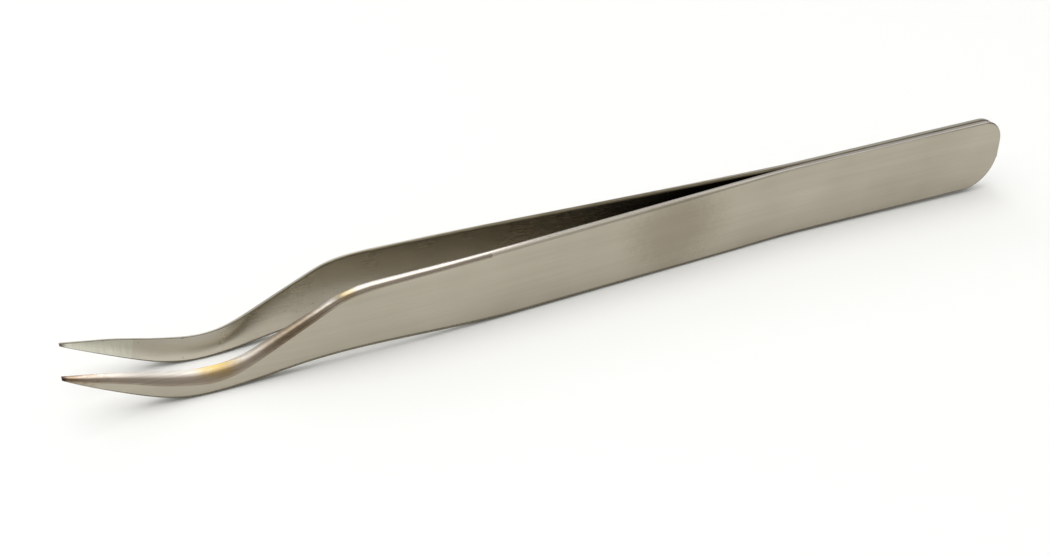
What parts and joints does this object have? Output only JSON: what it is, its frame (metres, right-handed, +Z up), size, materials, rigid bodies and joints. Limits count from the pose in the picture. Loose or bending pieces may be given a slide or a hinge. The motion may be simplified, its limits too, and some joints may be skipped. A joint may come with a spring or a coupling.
{
  "type": "precision tweezers",
  "caption": "Curved-point precision tweezers: slim stainless steel arms welded at a rounded butt, springing apart to fine upswept points with flat-ground jaws.",
  "frame": {"origin": "bottom centre of the overall box: midway between butt end and points, on the mid plane between the arms, at the level the lower edges rest on", "axes": "+X from the points to the butt, +Y from the near arm to the far arm (the points close along Y), +Z up, with the tweezers standing on their lower edges and the points swept up"},
  "size_m": [0.12, 0.009, 0.01],
  "materials": {
    "satin_steel": "satin-brushed broad faces with polished edges",
    "weld_steel": "dull fused metal"
  },
  "bodies": {
    "tang": {"far_tang": "satin_steel", "near_tang": "satin_steel", "spot_welds": "weld_steel"},
    "far_arm": {"far_arm": "satin_steel"},
    "near_arm": {"near_arm": "satin_steel"}
  },
  "joints": [
    {"name": "far_arm_flex", "type": "hinge", "parent": "tang", "child": "far_arm", "pos_m": [0.012, 0.00101, 0.0045], "axis": [0, 0, 1], "range_deg": [0, 2.47], "stiffness_Nm_per_rad": 2.7},
    {"name": "near_arm_flex", "type": "hinge", "parent": "tang", "child": "near_arm", "pos_m": [0.012, -0.00101, 0.0045], "axis": [0, 0, -1], "range_deg": [0, 2.47], "stiffness_Nm_per_rad": 2.7}
  ]
}
